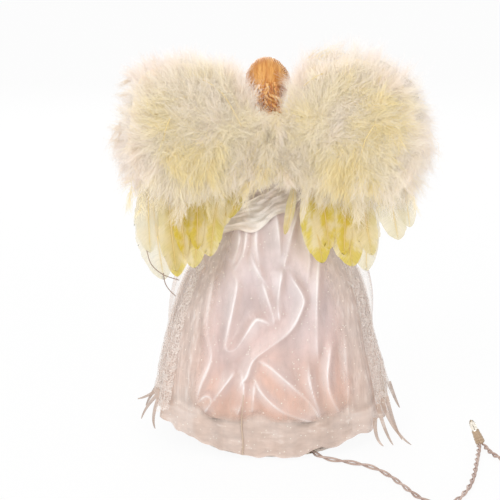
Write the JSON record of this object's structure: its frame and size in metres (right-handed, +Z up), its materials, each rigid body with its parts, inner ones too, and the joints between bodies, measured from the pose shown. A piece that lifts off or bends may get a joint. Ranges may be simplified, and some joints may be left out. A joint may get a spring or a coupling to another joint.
{
  "type": "angel tree topper",
  "caption": "Angel tree topper seen from behind: a doll with marabou wings and a satin and organza gown on an open cone with a string of mini lamps and a plug-in lead",
  "frame": {"origin": "centre of the cone's open mouth, on the surface that its foot ring stands on", "axes": "+Z up along the cone, +Y to the back, where the wings are, +X to the doll's left"},
  "size_m": [0.3511, 0.2225, 0.2988],
  "materials": {
    "cone_plastic": "satin",
    "skin": "matte",
    "hair": "satin",
    "satin": "satin",
    "organza": "satin",
    "lace": "matte",
    "card": "matte",
    "down": "matte",
    "long_feather": "matte",
    "wire": "satin",
    "lamp_plastic": "gloss",
    "lamp_glass": "gloss",
    "cord_pvc": "satin",
    "brass": "satin"
  },
  "bodies": {
    "body": {"cone_core": "cone_plastic", "bust": "skin", "wig_cap": "hair", "ringlet_left": "hair", "ringlet_centre": "hair", "ringlet_right": "hair", "bodice": "satin", "satin_gore_left": "satin", "satin_gore_back": "satin", "satin_gore_right": "satin", "satin_gore_front": "satin", "organza_back_right": "organza", "organza_front_right": "organza", "organza_front_left": "organza", "organza_back_left": "organza", "lace_left": "lace", "lace_right": "lace", "sash": "organza", "wing_hub": "card", "down_centre": "down", "lamp_1": "lamp_plastic", "lamp_2": "lamp_plastic", "lamp_3": "lamp_plastic", "lamp_4": "lamp_plastic", "lamp_5": "lamp_plastic", "lamp_6": "lamp_plastic", "lamp_7": "lamp_plastic", "lamp_8": "lamp_plastic", "lamp_9": "lamp_plastic", "lamp_harness": "cord_pvc", "cord_grommet": "lamp_plastic", "lead_cord": "cord_pvc", "loose_lamp_holder": "lamp_plastic", "loose_lamp_bulb": "lamp_glass", "link_cord": "cord_pvc", "cord_coil": "cord_pvc", "plug_body": "cord_pvc", "plug_blade_left": "brass", "plug_blade_right": "brass"},
    "wing_left": {"wing_board_left": "card", "down_back_left": "down", "down_front_left": "down", "long_feather_left_1": "long_feather", "long_feather_left_2": "long_feather", "long_feather_left_3": "long_feather", "long_feather_left_4": "long_feather"},
    "wing_right": {"wing_board_right": "card", "down_back_right": "down", "down_front_right": "down", "long_feather_right_1": "long_feather", "long_feather_right_2": "long_feather", "long_feather_right_3": "long_feather", "long_feather_right_4": "long_feather"},
    "arm_left": {"arm_wire_left": "wire", "sleeve_left": "organza", "hand_left": "skin"},
    "arm_right": {"arm_wire_right": "wire", "sleeve_right": "organza", "hand_right": "skin"},
    "fuse_door": {"fuse_cover": "cord_pvc"}
  },
  "joints": [
    {"name": "wing_left_bend", "type": "hinge", "parent": "body", "child": "wing_left", "pos_m": [0.005, 0.021, 0.232], "axis": [0, -0.2079, 0.9781], "range_deg": [-8, 12]},
    {"name": "wing_right_bend", "type": "hinge", "parent": "body", "child": "wing_right", "pos_m": [-0.005, 0.021, 0.232], "axis": [0, 0.2079, -0.9781], "range_deg": [-8, 12]},
    {"name": "shoulder_left", "type": "hinge", "parent": "body", "child": "arm_left", "pos_m": [0.028, -0.001, 0.2273], "axis": [-1, 0, 0], "range_deg": [-12, 30]},
    {"name": "shoulder_right", "type": "hinge", "parent": "body", "child": "arm_right", "pos_m": [-0.028, -0.001, 0.2273], "axis": [-1, 0, 0], "range_deg": [-12, 30]},
    {"name": "fuse_cover_slide", "type": "slide", "parent": "body", "child": "fuse_door", "axis": [0, -1, 0], "range_m": [0, 0.009]}
  ]
}
